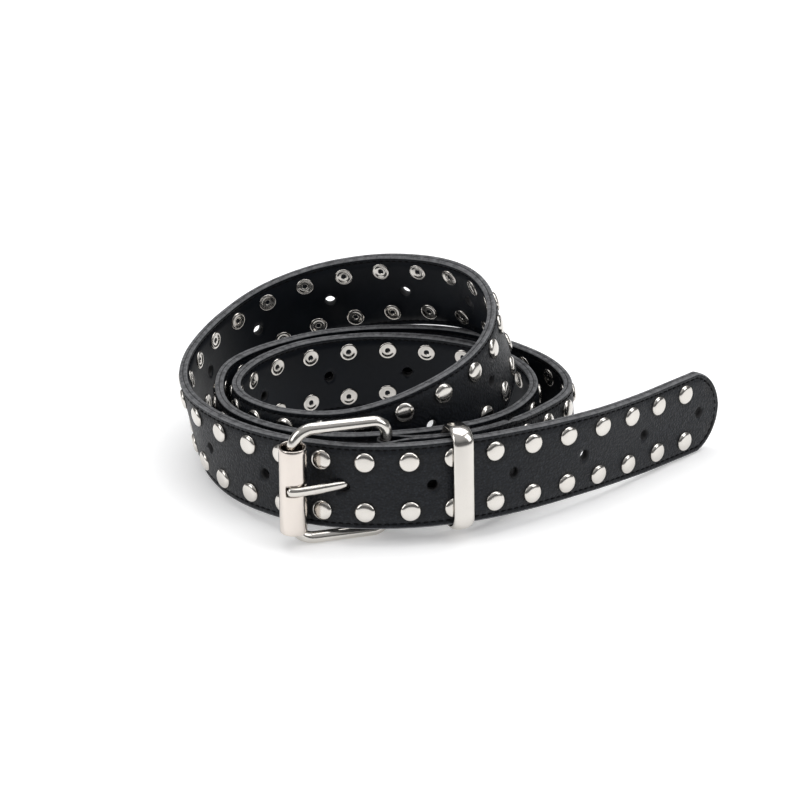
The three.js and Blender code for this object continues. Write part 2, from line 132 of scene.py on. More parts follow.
# Metal details, as shares: how far the bar's section is drawn in at its diagonals, how square the
# prong's eye is, and where along its line the prong starts to slim and to round off
BAR_SQUEEZE = 0.06
EYE_SQUARENESS = 0.6
PRONG_SLIM = 0.04
PRONG_SLIM_FROM = 0.6
PRONG_END_FROM = 0.96
PRONG_RISE_AT_ROLLER = 0.95

# Fineness
ROUTE_SAMPLES = 6000
RING_STEP = 2.0
TIP_RINGS = 14
FOLD_RINGS = 13
FACE_COLUMNS = 12
HOLE_SIDES = 24
STITCH_SIDES = 6
CAP_SIDES = 28
BACK_SIDES = 24
BAR_SIDES = 24
EYE_SIDES = 16
PRONG_RINGS = 48
WELD = 0.002

# How far a stud may lie off its mark, and its lean in radians
STUD_SEED = 7
STUD_DRIFT_ALONG = 0.25
STUD_DRIFT_ACROSS = 0.2
STUD_LEAN = 0.03

# Camera: degrees and millimetres. It looks at a point beside the coil's centre.
CAMERA_ELEVATION = 25.0
CAMERA_LENS = 138.0
CAMERA_DISTANCE = 1197.0
CAMERA_TARGET = (8.0, -21.0, 37.6)
STUDIO_STRENGTH = 0.56

# The strap's middle line: places along and across the coil as shares of half its length and depth, the
# lower edge's height as a share of the strap's width, and the lean in degrees, upper edge towards the
# inside of the coil.
ROUTE = [
    # tongue, from its tip to the buckle
    (1.76, 0.28, 0.01, 4),
    (1.42, -0.09, 0.04, 2),
    (1.1, -0.43, 0.11, 0),
    (0.75, -0.71, 0.16, 4),
    (0.37, -0.92, 0.2, 7),
    (0.03, -0.985, 0.2, 6),
    (-0.3, -0.91, 0.17, 6),
    (-0.56, -0.73, 0.12, 2),
    # turn that climbs and rests on the tops of the others at the back right
    (-0.79, -0.46, 0.09, -4),
    (-0.94, -0.13, 0.1, -11),
    (-0.98, 0.22, 0.12, -10),
    (-0.92, 0.56, 0.19, -4),
    (-0.74, 0.85, 0.35, 1),
    (-0.45, 0.99, 0.6, 6),
    (-0.12, 1, 0.8, 9),
    (0.2, 0.89, 0.95, 15),
    (0.46, 0.68, 1.03, 19),
    (0.605, 0.34, 1.02, 17),
    (0.615, -0.03, 0.9, 13),
    (0.49, -0.37, 0.75, 9),
    (0.23, -0.6, 0.56, 4),
    # inner ring
    (-0.1, -0.67, 0.34, 2),
    (-0.42, -0.55, 0.2, 3),
    (-0.66, -0.29, 0.1, 3),
    (-0.745, 0.06, 0.02, 1),
    (-0.65, 0.37, 0, 0),
    (-0.43, 0.6, 0, -1),
    (-0.11, 0.73, 0, 1),
    (0.23, 0.74, 0, 7),
    (0.54, 0.61, 0, 8),
    (0.76, 0.34, 0, 7),
    (0.81, 0, 0, 5),
    (0.68, -0.31, 0.01, 3),
    # outer ring, and on towards the buckle
    (0.47, -0.57, 0.09, 2),
    (0.13, -0.74, 0.14, 2),
    (-0.22, -0.76, 0.13, 1),
    (-0.54, -0.59, 0.08, 1),
    (-0.76, -0.31, 0.03, 1),
    (-0.83, 0.03, 0, 0),
    (-0.79, 0.33, 0, 0),
    (-0.6, 0.58, 0, 0),
    (-0.32, 0.77, 0, 0),
    (0.05, 0.85, 0, 0),
    (0.41, 0.81, 0, 1),
    (0.72, 0.6, 0, 3),
    (0.93, 0.31, 0, 4),
    (0.98, -0.02, 0, 4),
    (0.85, -0.29, 0.02, 4),
    (0.63, -0.63, 0.13, 4),
]

# The prong's middle line: reach from the heel bar as a share of the frame's reach, and how far it
# stands out in front of the frame's plane as a share of the roller's radius.
PRONG_LINE = [
    (0.1, -0.2),
    (0.22, -0.23),
    (0.37, 0.06),
    (0.56, 0.44),
    (0.77, 0.74),
    (0.93, 0.93),
    (1.03, 0.92),
    (1.09, 0.78),
]

# Turned outlines: height as a share of the body's own, and radius as a share of its largest
CAP_OUTLINE = [
    (-0.3, 0.94), (-0.02, 0.985), (0.1, 1.0), (0.24, 0.99), (0.45, 0.95), (0.65, 0.87),
    (0.8, 0.76), (0.9, 0.61), (0.96, 0.42), (0.99, 0.22), (1.0, 0.05),
]
BACK_OUTLINE = [
    (-0.3, 0.92), (0.4, 0.98), (0.8, 0.92), (1.0, 0.82), (0.85, 0.7), (0.45, 0.6),
    (0.35, 0.45), (0.4, 0.34), (0.3, 0.28), (-0.6, 0.25), (-0.7, 0.05),
]
STITCH_OUTLINE = [(-1.0, 0.35), (-0.7, 0.85), (0.0, 1.0), (0.7, 0.85), (1.0, 0.35)]

# Nickel's darker and lighter tone: bright on the studs, the bars and the keeper, warmer on the roller
POLISHED = ((0.595, 0.570, 0.532), (0.700, 0.674, 0.635))
BRUSHED = ((0.640, 0.584, 0.535), (0.735, 0.678, 0.628))

UP = np.array([0.0, 0.0, 1.0])

TIP_RADIUS = (STRAP_WIDTH ** 2 / 4 + TIP_ARC_LENGTH ** 2) / (2 * TIP_ARC_LENGTH)
PRONG_HOLE_DISTANCE = TIP_TO_FIRST_STUD + (2 * PRONG_HOLE_NUMBER - 0.5) * STUD_PITCH
LAYER = (STRAP_THICKNESS - GAP) / 2
LAYER_OFFSET = (LAYER + GAP) / 2
LOOP_RADIUS = BAR_DIAMETER / 2 + FOLD_PLAY + LAYER / 2


# Route of the strap

def unit(vectors):
    return vectors / np.linalg.norm(vectors, axis=-1, keepdims=True)


def natural_spline(knots, values):
    """The natural cubic spline through values, one row for each knot, as a function."""
    spans = np.diff(knots)
    slopes = np.diff(values, axis=0) / spans[:, None]
    count = len(knots)
    system = np.eye(count)
    sides = np.zeros_like(values)
    for i in range(1, count - 1):
        system[i, i - 1:i + 2] = spans[i - 1], 2 * (spans[i - 1] + spans[i]), spans[i]
        sides[i] = 6 * (slopes[i] - slopes[i - 1])
    bends = np.linalg.solve(system, sides)

    def at(places):
        i = np.clip(np.searchsorted(knots, places) - 1, 0, count - 2)
        span = spans[i]
        b = (places - knots[i]) / span
        a = 1 - b
        curve = (a ** 3 - a)[:, None] * bends[i] + (b ** 3 - b)[:, None] * bends[i + 1]
        return a[:, None] * values[i] + b[:, None] * values[i + 1] + curve * (span ** 2 / 6)[:, None]

    return at


class Route:
    """The strap's middle surface: place, travel, up and out at distances from the tip."""

    def __init__(self, rows):
        rows = np.array(rows, float)
        knots = np.concatenate([[0], np.cumsum(np.linalg.norm(np.diff(rows[:, :3], axis=0), axis=1))])
        line = natural_spline(knots, rows)(np.linspace(0, knots[-1], ROUTE_SAMPLES))
        tilt = np.radians(line[:, 3])
        middle = (STRAP_WIDTH * np.cos(tilt) + STRAP_THICKNESS * np.abs(np.sin(tilt))) / 2
        places = np.column_stack([line[:, 0], line[:, 1], line[:, 2] + middle])
        steps = np.linalg.norm(np.diff(places, axis=0), axis=1)
        self.distances = np.concatenate([[0], np.cumsum(steps)])
        self.length = self.distances[-1]
        self.places = places
        self.travels = unit(np.gradient(places, self.distances, axis=0))
        self.tilts = tilt

    def at(self, distances):
        distances = np.atleast_1d(np.asarray(distances, float))

        def pick(table):
            return np.column_stack([np.interp(distances, self.distances, column) for column in table.T])

        place = pick(self.places)
        travel = unit(pick(self.travels))
        beyond = distances - np.clip(distances, 0, self.length)
        place = place + travel * beyond[:, None]
        tilt = np.interp(distances, self.distances, self.tilts)[:, None]
        inward = unit(np.cross(travel, UP))
        up = np.cos(tilt) * np.cross(inward, travel) + np.sin(tilt) * inward
        return place, travel, up, np.cross(up, travel)


def table_rows():
    return [
        (along * COIL_LENGTH / 2, across * COIL_DEPTH / 2, lift * STRAP_WIDTH, lean)
        for along, across, lift, lean in ROUTE
    ]


def buckle_place(tongue):
    """The heel bar's foot, the directions towards the roller and out, and the prong's height."""
    place, travel, _, _ = (value[0] for value in tongue.at(PRONG_HOLE_DISTANCE))
    ahead = unit(travel * (1, 1, 0))
    front = np.cross(UP, ahead)
    heel = place - HEEL_BACK * ahead - HEEL_BEHIND * front
    turn = math.radians(BUCKLE_TURN)
    reach = math.cos(turn) * ahead + math.sin(turn) * front
    return {"heel": heel * (1, 1, 0), "reach": reach, "out": np.cross(UP, reach), "prong": place[2]}


def buckle_end_rows(tongue, buckle):
    distance = PRONG_HOLE_DISTANCE - KEEPER_FROM_PRONG_HOLE
    place, _, _, out = (value[0] for value in tongue.at(distance))
    lean = np.interp(distance, tongue.distances, tongue.tilts)
    behind = place - LAYER_GAP * out
    heel = buckle["heel"]
    return [
        (behind[0], behind[1], behind[2] - STRAP_WIDTH * math.cos(lean) / 2, math.degrees(lean)),
        (heel[0], heel[1], buckle["prong"] - STRAP_WIDTH / 2, 0),
    ]


tongue_route = Route(table_rows())
BUCKLE = buckle_place(tongue_route)
ROUTE_LINE = Route(table_rows() + buckle_end_rows(tongue_route, BUCKLE))
STUD_PAIRS = int((ROUTE_LINE.length - FOLD_REACH - TIP_TO_FIRST_STUD) // STUD_PITCH) + 1
LAST_STUD = TIP_TO_FIRST_STUD + (STUD_PAIRS - 1) * STUD_PITCH
RETURN_LENGTH = ROUTE_LINE.length - LAST_STUD + FOLD_MARGIN


# Meshes

def mesh_object(name, points, faces, materials, material_of=None):
    """A smooth mesh from points in millimetres, in the part's own coordinates."""
    mesh = bpy.data.meshes.new(name)
    mesh.from_pydata(((np.asarray(points) + SHIFT) * MM).tolist(), [], [list(f) for f in faces])
    for material in materials:
        mesh.materials.append(material)
    if material_of is not None:
        mesh.polygons.foreach_set("material_index", np.asarray(material_of, dtype=np.int32))
    mesh.polygons.foreach_set("use_smooth", np.full(len(mesh.polygons), True))
    mesh.update()
    piece = bpy.data.objects.new(name, mesh)
    bpy.context.scene.collection.objects.link(piece)
    return piece


def sweep(rings, looped=False):
    """Points and faces of a closed body through rings, with flat ends where it isn't looped."""
    rings = np.asarray(rings)
    rows, columns, _ = rings.shape
    faces = []
    for i in range(rows if looped else rows - 1):
        for j in range(columns):
            k, n = (j + 1) % columns, (i + 1) % rows
            faces.append((i * columns + j, i * columns + k, n * columns + k, n * columns + j))
    if not looped:
        faces.append(tuple(range(columns))[::-1])
        faces.append(tuple((rows - 1) * columns + j for j in range(columns)))
    return rings.reshape(-1, 3), faces


def stamped(body, place, first, second, axis):
    """Copies of a small body, given as points along three directions, at every place."""
    points, faces = body
    copies, all_faces = [], []
    for i in range(len(place)):
        basis = np.stack([first[i], second[i], axis[i]])
        copies.append(points @ basis + place[i])
        all_faces += [tuple(v + i * len(points) for v in f) for f in faces]
    return np.concatenate(copies), all_faces


def turned(outline, radius, height, sides):
    """A body turned about the third axis, from an outline in shares of its height and radius."""
    angles = np.arange(sides) * 2 * math.pi / sides
    return sweep([
        [(radius * r * math.cos(a), radius * r * math.sin(a), height * h) for a in angles]
        for h, r in outline
    ])


def attribute(piece, name, values):
    layer = piece.data.attributes.new(name, "FLOAT", "POINT")
    layer.data.foreach_set("value", np.asarray(values, dtype=np.float32))


def cut(piece, cutter):
    """Takes a cutter out of a piece."""
    modifier = piece.modifiers.new("cut", "BOOLEAN")
    modifier.operation = "DIFFERENCE"
    modifier.solver = "EXACT"
    modifier.object = cutter
    bpy.context.view_layer.objects.active = piece
    bpy.ops.object.modifier_apply(modifier="cut")
    mesh = cutter.data
    bpy.data.objects.remove(cutter)
    bpy.data.meshes.remove(mesh)


def weld(piece):
    """Joins points that lie closer than the mesh needs."""
    mesh = bmesh.new()
    mesh.from_mesh(piece.data)
    bmesh.ops.remove_doubles(mesh, verts=mesh.verts, dist=WELD * MM)
    bmesh.ops.dissolve_degenerate(mesh, edges=mesh.edges, dist=WELD * MM)
    mesh.to_mesh(piece.data)
    mesh.free()


def dress(piece, slot, *nodes):
    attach(piece, "root")
    if nodes:
        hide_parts(*nodes)


# Materials

class Shader:
    """A material's nodes, made by short calls."""

    def __init__(self, name):
        self.material = bpy.data.materials.new(name)
        self.material.use_nodes = True
        self.tree = self.material.node_tree
        self.surface = self.tree.nodes["Principled BSDF"]

    def set(self, **values):
        for name, value in values.items():
            self.surface.inputs[name.replace("_", " ")].default_value = value

    def node(self, kind, settings=None, **inputs):
        """A new node. Inputs go by name, with _ for a space, or by number, as i0 and i1."""
        node = self.tree.nodes.new(kind)
        for name, value in (settings or {}).items():
            setattr(node, name, value)
        for name, value in inputs.items():
            key = int(name[1:]) if name[0] == "i" and name[1:].isdigit() else name.replace("_", " ")
            if isinstance(value, bpy.types.NodeSocket):
                self.tree.links.new(value, node.inputs[key])
            else:
                node.inputs[key].default_value = value
        return node

    def math(self, operation, first, second=0.0, third=0.0):
        node = self.node("ShaderNodeMath", {"operation": operation}, i0=first, i1=second, i2=third)
        return node.outputs[0]

    def noise(self, scale, detail=4.0, roughness=0.5, vector=None):
        node = self.node(
            "ShaderNodeTexNoise",
            Vector=vector or self.place(), Scale=scale, Detail=detail, Roughness=roughness,
        )
        return node.outputs["Fac"]

    def cells(self, scale):
        return self.node("ShaderNodeTexVoronoi", Vector=self.place(), Scale=scale).outputs["Distance"]

    def place(self):
        return self.node("ShaderNodeTexCoord").outputs["Object"]

    def value(self, name):
        return self.node("ShaderNodeAttribute", {"attribute_name": name}).outputs["Fac"]

    def between(self, factor, low, high, low_at=0.0, high_at=1.0):
        """Low where the factor is low_at, high where it is high_at, and in proportion in between."""
        node = self.node(
            "ShaderNodeMapRange",
            i0=factor, i1=low_at, i2=high_at, i3=low, i4=high,
        )
        return node.outputs[0]

    def blend(self, factor, first, second):
        node = self.node("ShaderNodeMix", {"data_type": "RGBA"}, i0=factor)
        for socket, value in ((node.inputs[6], first), (node.inputs[7], second)):
            if isinstance(value, bpy.types.NodeSocket):
                self.tree.links.new(value, socket)
            else:
                socket.default_value = (*value, 1)
        return node.outputs[2]

    def bump(self, height, distance, strength=1.0, normal=None):
        links = {} if normal is None else {"Normal": normal}
        node = self.node("ShaderNodeBump", Height=height, Distance=distance, Strength=strength, **links)
        return node.outputs[0]

    def link(self, name, socket):
        self.tree.links.new(socket, self.surface.inputs[name])


def around_studs(shader):
    """1 close round each stud of the two rows, 0 away from them: the mask for the painted shade and the
    pressed dimple round each stud.
    """
    along = shader.math("SUBTRACT", shader.value("along"), TIP_TO_FIRST_STUD - STUD_PITCH / 2)
    along = shader.math("SUBTRACT", shader.math("FLOORED_MODULO", along, STUD_PITCH), STUD_PITCH / 2)
    across = shader.math("SUBTRACT", shader.math("ABSOLUTE", shader.value("across")), ROW_SPACING / 2)
    square = shader.math("ADD", shader.math("POWER", along, 2.0), shader.math("POWER", across, 2.0))
    return shader.between(shader.math("SQRT", square), 1.0, 0.0, CAP_DIAMETER / 2, CAP_DIAMETER * 0.72)


def leather_face():
    shader = Shader("leather_face")
    shader.set(IOR=1.48, Specular_IOR_Level=0.3)
    pebbles = shader.cells(1150.0)
    fine = shader.noise(2600.0, 5.0)
    wrinkles = shader.noise(330.0, 6.0, 0.6)
    patches = shader.noise(38.0, 3.0)
    studs = around_studs(shader)
    patch_share = shader.between(patches, 0.0, 1.0, 0.35, 0.65)
    tone = shader.blend(patch_share, (0.0042, 0.0058, 0.0092), (0.0072, 0.0096, 0.0144))
    speckle = shader.noise(820.0, 3.0, 0.7)
    tone = shader.blend(shader.between(speckle, 0.0, 1.0, 0.52, 0.72), tone, (0.0165, 0.0212, 0.0285))
    valleys = shader.math("MULTIPLY", shader.between(pebbles, 0.0, 1.0, 0.25, 0.7), 0.85)
    tone = shader.blend(valleys, tone, (0.002, 0.003, 0.0045))
    # Painted shade: the leather's colour is darkened in a ring round each stud, where the cap shades it.
    tone = shader.blend(shader.math("MULTIPLY", studs, 0.6), tone, (0.003, 0.003, 0.0035))
    shader.link("Base Color", tone)
    dullness = shader.between(patches, 0.40, 0.54)
    glints = shader.between(speckle, 0.12, -0.1, 0.3, 0.7)
    shader.link("Roughness", shader.math("ADD", dullness, glints))
    normal = shader.bump(shader.math("MULTIPLY", studs, -1.0), 0.00025, 0.6)
    normal = shader.bump(wrinkles, 0.00022, 0.45, normal)
    normal = shader.bump(pebbles, 0.00022, 0.9, normal)
    shader.link("Normal", shader.bump(fine, 0.00005, 0.4, normal))
    return shader.material


def leather_back():
    shader = Shader("leather_back")
    shader.set(IOR=1.46, Specular_IOR_Level=0.2)
    smears = shader.noise(60.0, 4.0)
    fibres = shader.noise(1500.0, 6.0, 0.65)
    creases = shader.noise(190.0, 5.0, 0.55)
    smear_share = shader.between(smears, 0.0, 1.0, 0.35, 0.68)
    tone = shader.blend(smear_share, (0.0018, 0.0030, 0.0054), (0.0036, 0.0056, 0.0094))
    shader.link("Base Color", tone)
    shader.link("Roughness", shader.between(shader.math("ADD", smears, fibres), 0.36, 0.58, 0.6, 1.4))
    normal = shader.bump(creases, 0.00025, 0.35)
    shader.link("Normal", shader.bump(fibres, 0.00006, 0.5, normal))
    return shader.material


def leather_edge():
    """The cut edge: a painted highlight along its rounded rims, and dark where the two plies meet."""
    shader = Shader("leather_edge")
    streaks = shader.noise(900.0, 6.0, 0.7)
    patches = shader.noise(420.0, 6.0, 0.7)
    patch_share = shader.between(patches, 0.0, 1.0, 0.35, 0.7)
    tone = shader.blend(patch_share, (0.030, 0.031, 0.034), (0.20, 0.202, 0.21))
    depth = shader.math("ABSOLUTE", shader.value("depth"))
    # Painted highlight: the rounded rims, where they catch the light, are streaked lighter.
    rim = shader.math("MULTIPLY", shader.between(depth, 0.0, 0.75, 1.1, 1.5), streaks)
    tone = shader.blend(rim, tone, (0.26, 0.265, 0.275))
    seam = shader.between(depth, 1.0, 0.0, 0.05, 0.32)
    shader.link("Base Color", shader.blend(seam, tone, (0.006, 0.006, 0.0065)))
    shader.link("Roughness", shader.between(streaks, 0.62, 0.9))
    shader.link("Normal", shader.bump(streaks, 0.0004))
    return shader.material


def hole_wall():
    shader = Shader("hole_wall")
    fibres = shader.noise(1400.0, 5.0, 0.7)
    shader.link("Base Color", shader.blend(fibres, (0.010, 0.010, 0.011), (0.032, 0.032, 0.034)))
    shader.link("Roughness", shader.between(fibres, 0.7, 0.95))
    shader.link("Normal", shader.bump(fibres, 0.0002, 0.8))
    return shader.material


def thread():
    shader = Shader("thread")
    shader.set(Specular_IOR_Level=0.2)
    twist = shader.node(
        "ShaderNodeTexWave", {"bands_direction": "DIAGONAL"},
        Vector=shader.place(), Scale=900.0, Distortion=1.0,
    )
    fuzz = shader.noise(3000.0, 3.0)
    shader.link("Base Color", shader.blend(fuzz, (0.0012, 0.0013, 0.0016), (0.0045, 0.0048, 0.006)))
    shader.link("Roughness", shader.between(fuzz, 0.8, 0.95))
    shader.link("Normal", shader.bump(twist.outputs["Fac"], 0.00012, 0.6))
    return shader.material


def nickel(name, low, high, scratch=1.0):
    """Nickel between two tones, clouded and finely brushed."""
    shader = Shader(name)
    shader.set(Metallic=1.0)
    cloud = shader.noise(90.0, 4.0, 0.6)
    place = shader.node("ShaderNodeMapping", Vector=shader.place(), Scale=(1.0, 1.0, 9.0)).outputs[0]
    brush = shader.noise(2200.0, 3.0, 0.6, vector=place)
    shader.link("Base Color", shader.blend(cloud, low, high))
    haze = shader.between(cloud, 0.07, 0.15, 0.3, 0.7)
    strokes = shader.between(brush, 0.0, 0.05)
    shader.link("Roughness", shader.math("ADD", haze, strokes))
    normal = shader.bump(cloud, 0.00012, 0.12 * scratch)
    shader.link("Normal", shader.bump(brush, 0.00002, 0.25 * scratch, normal))
    return shader.material


# Strap

def faces_at(from_bar):
    """How far the strap's two faces lie out of its middle surface, at a distance from the heel bar.

    Round the bar it is one thin layer, and past the return layer it grows to its full thickness.
    """
    opening = np.clip(1 - from_bar / FOLD_NECK, 0, 1)
    spread = LAYER_OFFSET + (LOOP_RADIUS - LAYER_OFFSET) * opening * opening * (3 - 2 * opening)
    start = RETURN_LENGTH + LOOSE
    skive = np.clip((from_bar - start) / (STUD_PITCH / 2 - FOLD_MARGIN / 2), 0, 1)
    outer = spread + LAYER / 2
    inner = spread - LAYER / 2
    return outer, inner + (-STRAP_THICKNESS / 2 - inner) * skive


def tip_width(distance, margin=0.0):
    """Half the strap's width inside a margin, on the tip's arc and past it."""
    half = STRAP_WIDTH / 2
    if distance >= TIP_ARC_LENGTH + margin:
        return half - margin
    square = (TIP_RADIUS - margin) ** 2 - (TIP_RADIUS - distance) ** 2
    return min(math.sqrt(max(square, 0.0)), half - margin)


def rim_rows(distance, half_thick):
    """Half of the face outside the stitches and half of the cut edge, down to the plies' seam.

    Rows of across, depth as a share of half the thickness, and kind: 0 for face, 1 for edge.
    """
    width = max(tip_width(distance), LEAST_WIDTH)
    seam = tip_width(distance, STITCH_MARGIN)
    sewn = seam > LEAST_SEAM
    seam = seam if sewn else width * 0.5
    lip = SEAM_LIP if sewn else width * 0.1
    sunk = 1 - (STITCH_GROOVE if sewn else 0.0) / half_thick
    round_off = min(EDGE_ROUNDING, half_thick * 0.45, width * 0.3)
    return seam - lip, [
        (seam - lip * 0.3, sunk, 0),
        (seam + lip * 0.3, sunk, 0),
        (seam + lip, 1.0, 0),
        (width - round_off * 0.9, 1.0, 0),
        (width - round_off * 0.25, 1 - round_off * 0.3 / half_thick, 1),
        (width, 1 - round_off / half_thick, 1),
        (width, 0.22, 1),
        (width - min(PLY_GROOVE, width * 0.1), 0.0, 1),
    ]


def section(distance, outer, inner):
    """The strap's section: rows of across, place out, depth and kind, anticlockwise about the travel.

    Kind 0 is the front, 1 the cut edge and 2 the back.
    """
    half_thick = (outer - inner) / 2
    middle = (outer + inner) / 2
    inside, front = rim_rows(distance, half_thick)
    back = [(a, -d, 2 if k == 0 else 1) for a, d, k in front]
    flat = np.linspace(-inside, inside, FACE_COLUMNS)
    rows = [(a, 1.0, 0) for a in flat]
    rows += front + back[-2::-1]
    rows += [(a, -1.0, 2) for a in flat[::-1]]
    rows += [(-a, d, k) for a, d, k in back + front[-2::-1]]
    return [(a, middle + d * half_thick, d * half_thick, k) for a, d, k in rows]


def strap_stations():
    """Where the strap's rings stand: distance, half-turn angle and side of the fold."""
    length = ROUTE_LINE.length
    whole = math.asin(STRAP_WIDTH / 2 / TIP_RADIUS)
    turns = [whole * (i + 0.4) / TIP_RINGS for i in range(TIP_RINGS)]
    tip = [TIP_RADIUS * (1 - math.cos(turn)) for turn in turns]
    count = int((length - TIP_ARC_LENGTH) / RING_STEP)
    out = tip + list(np.linspace(TIP_ARC_LENGTH, length, count))
    stations = [(d, 0.0, 1) for d in out]
    stations += [(length, a, 1) for a in np.linspace(0, math.pi, FOLD_RINGS)[1:-1]]
    back = np.linspace(length, length - RETURN_LENGTH, int(RETURN_LENGTH / RING_STEP))
    return stations + [(d, 0.0, -1) for d in back]


def pressed(across, depth_here):
    """How much of the fold's press reaches a place: its outside, from the middle to the upper edge."""
    return max(across - FOLD_PRESS_FROM, 0) / (STRAP_WIDTH / 2 - FOLD_PRESS_FROM) if depth_here > 0 else 0.0


def strap_mesh(materials):
    stations = strap_stations()
    distances = np.array([s[0] for s in stations])
    place, travel, up, out = ROUTE_LINE.at(distances)
    length = ROUTE_LINE.length
    rings, along, across, depth, kinds = [], [], [], [], []
    for i, (distance, angle, side) in enumerate(stations):
        from_bar = length - distance
        outer, inner = faces_at(np.array(min(from_bar, RETURN_LENGTH) if side < 0 else from_bar))
        rows = section(distance, float(outer), float(inner))
        direction = out[i] * side
        upright = up[i]
        if angle:
            direction = unit((math.cos(angle) * out[i] + math.sin(angle) * travel[i]) * (1, 1, 0))
            upright = UP
        press = FOLD_PRESS * max(1 - from_bar / FOLD_NECK, 0) if side > 0 else 0.0
        rings.append([
            place[i] + a * upright + (d - press * pressed(a, depth_here)) * direction
            for a, d, depth_here, _ in rows
        ])
        along.append([distance] * len(rows))
        across.append([r[0] for r in rows])
        depth.append([r[2] for r in rows])
        kinds = [r[3] for r in rows]
    rings = waved(np.asarray(rings), up, stations)
    points, faces = sweep(rings)
    columns = len(kinds)
    slot_of = [1 if 1 in (kinds[j], kinds[(j + 1) % columns]) else kinds[j] for j in range(columns)]
    materials_of = slot_of * (len(stations) - 1) + [1, 1]
    piece = mesh_object("strap_leather", points, faces, materials, materials_of)
    attribute(piece, "along", np.asarray(along).ravel())
    attribute(piece, "across", np.asarray(across).ravel())
    attribute(piece, "depth", np.asarray(depth).ravel())
    return piece


def waved(rings, up, stations):
    """The strap's slight waver up and down between its tip and the fold."""
    for i, (distance, angle, side) in enumerate(stations):
        if side > 0 and not angle and distance > TIP_ARC_LENGTH:
            slow = SLOW_WAVER * math.sin(distance / 11.0)
            fast = FAST_WAVER * math.sin(distance / 4.3 + 1.0)
            rings[i] += (slow + fast) * up[i]
    return rings


def ring_cutter(name, distances, stretch=1.0):
    """Cutters for round holes through the strap, stretched along it."""
    depth = STRAP_THICKNESS / 2 + LOOSE
    place, travel, up, out = ROUTE_LINE.at(distances)
    points, faces = turned([(-1, 1), (1, 1)], HOLE_DIAMETER / 2, depth, HOLE_SIDES)
    points[:, 0] *= stretch
    return mesh_object(name, *stamped((points, faces), place, -travel, up, out), [hole_material])


def hole_distances():
    """Holes lie halfway between stud pairs, one for every two pairs, the first on the tip's side."""
    first = TIP_TO_FIRST_STUD - STUD_PITCH / 2
    return np.arange(first, LAST_STUD, 2 * STUD_PITCH)


def prong_rings(clearance=0.0, sides=20):
    """The shank of the prong, from inside the eye's wall to the tip."""
    line = np.array(PRONG_LINE) * (FRAME_REACH, ROLLER_DIAMETER / 2)
    knots = np.concatenate([[0], np.cumsum(np.linalg.norm(np.diff(line, axis=0), axis=1))])
    shares = np.linspace(0, 1, PRONG_RINGS)
    flat = natural_spline(knots, line)(shares * knots[-1])
    travel = unit(np.gradient(flat, axis=0))
    angles = np.arange(sides) * 2 * math.pi / sides
    rings = []
    first, last = flat[0, 0], flat[-1, 0]
    for i, (reach, out) in enumerate(flat):
        rise = PRONG_RISE * (reach - first) / (last - first)
        centre = BUCKLE["heel"] + reach * BUCKLE["reach"] + out * BUCKLE["out"]
        centre = centre + UP * (BUCKLE["prong"] + rise)
        front = -travel[i, 1] * BUCKLE["reach"] + travel[i, 0] * BUCKLE["out"]
        end = max(0.0, (shares[i] - PRONG_END_FROM) / (1 - PRONG_END_FROM))
        taper = math.sqrt(max(1 - 0.93 * end ** 2, 0.04)) if clearance == 0 else 1.0
        slim = 1 - PRONG_SLIM * max(0.0, (shares[i] - PRONG_SLIM_FROM) / (1 - PRONG_SLIM_FROM))
        wide = (PRONG_WIDTH / 2 * slim + clearance) * taper
        thick = (PRONG_THICKNESS / 2 + clearance) * taper
        rings.append([centre + thick * math.cos(a) * front + wide * math.sin(a) * UP for a in angles])
    return rings


def slot_rings():
    """The slot for the prong's eye, from its rounded end out past the fold."""
    place, travel, up, out = (value[0] for value in ROUTE_LINE.at(ROUTE_LINE.length))
    half = PRONG_WIDTH / 2 + LOOSE
    depth = LOOP_RADIUS + LAYER

    def ring(shift, tall):
        corners = ((1, -1), (1, 1), (-1, 1), (-1, -1))
        return [place + travel * shift + up * u * tall + out * o * depth for o, u in corners]

    rings = []
    for turn in np.linspace(0, math.pi / 2, 7):
        rings.append(ring(half * (1 - math.cos(turn)) - SLOT_REACH, max(half * math.sin(turn), 0.05)))
    return rings + [ring(depth, half)]


def strap(materials):
    """The leather with its holes: the round ones, the prong's stretched one and the eye's slot."""
    piece = strap_mesh(materials)
    distances = hole_distances()
    is_prong = np.abs(distances - PRONG_HOLE_DISTANCE) < 1
    cut(piece, ring_cutter("cut_holes", distances[~is_prong]))
    cut(piece, ring_cutter("cut_stretched_hole", distances[is_prong], PRONG_HOLE_STRETCH))
    cut(piece, mesh_object("cut_prong", *sweep(prong_rings(GAP, sides=16)), [hole_material]))
    cut(piece, mesh_object("cut_slot", *sweep(slot_rings()), [hole_material]))
    weld(piece)
    dress(piece, "strap", "strap")


def seam_line():
    """Every stitch's distance from the tip, place across the strap and turn out of the travel."""
    radius = TIP_RADIUS - STITCH_MARGIN
    half = STRAP_WIDTH / 2 - STITCH_MARGIN
    widest = math.asin(half / radius)
    bends = np.linspace(-widest, widest, round(2 * widest * radius / STITCH_PITCH))
    start = TIP_RADIUS - radius * math.cos(widest) + STITCH_PITCH
    straight = np.arange(start, ROUTE_LINE.length - FOLD_NECK, STITCH_PITCH)
    ones = np.ones_like(straight)
    distances = np.concatenate([TIP_RADIUS - radius * np.cos(bends), straight, straight])
    across = np.concatenate([radius * np.sin(bends), half * ones, -half * ones])
    turns = np.concatenate([math.pi / 2 - bends, 0 * ones, 0 * ones])
    return distances, across, turns


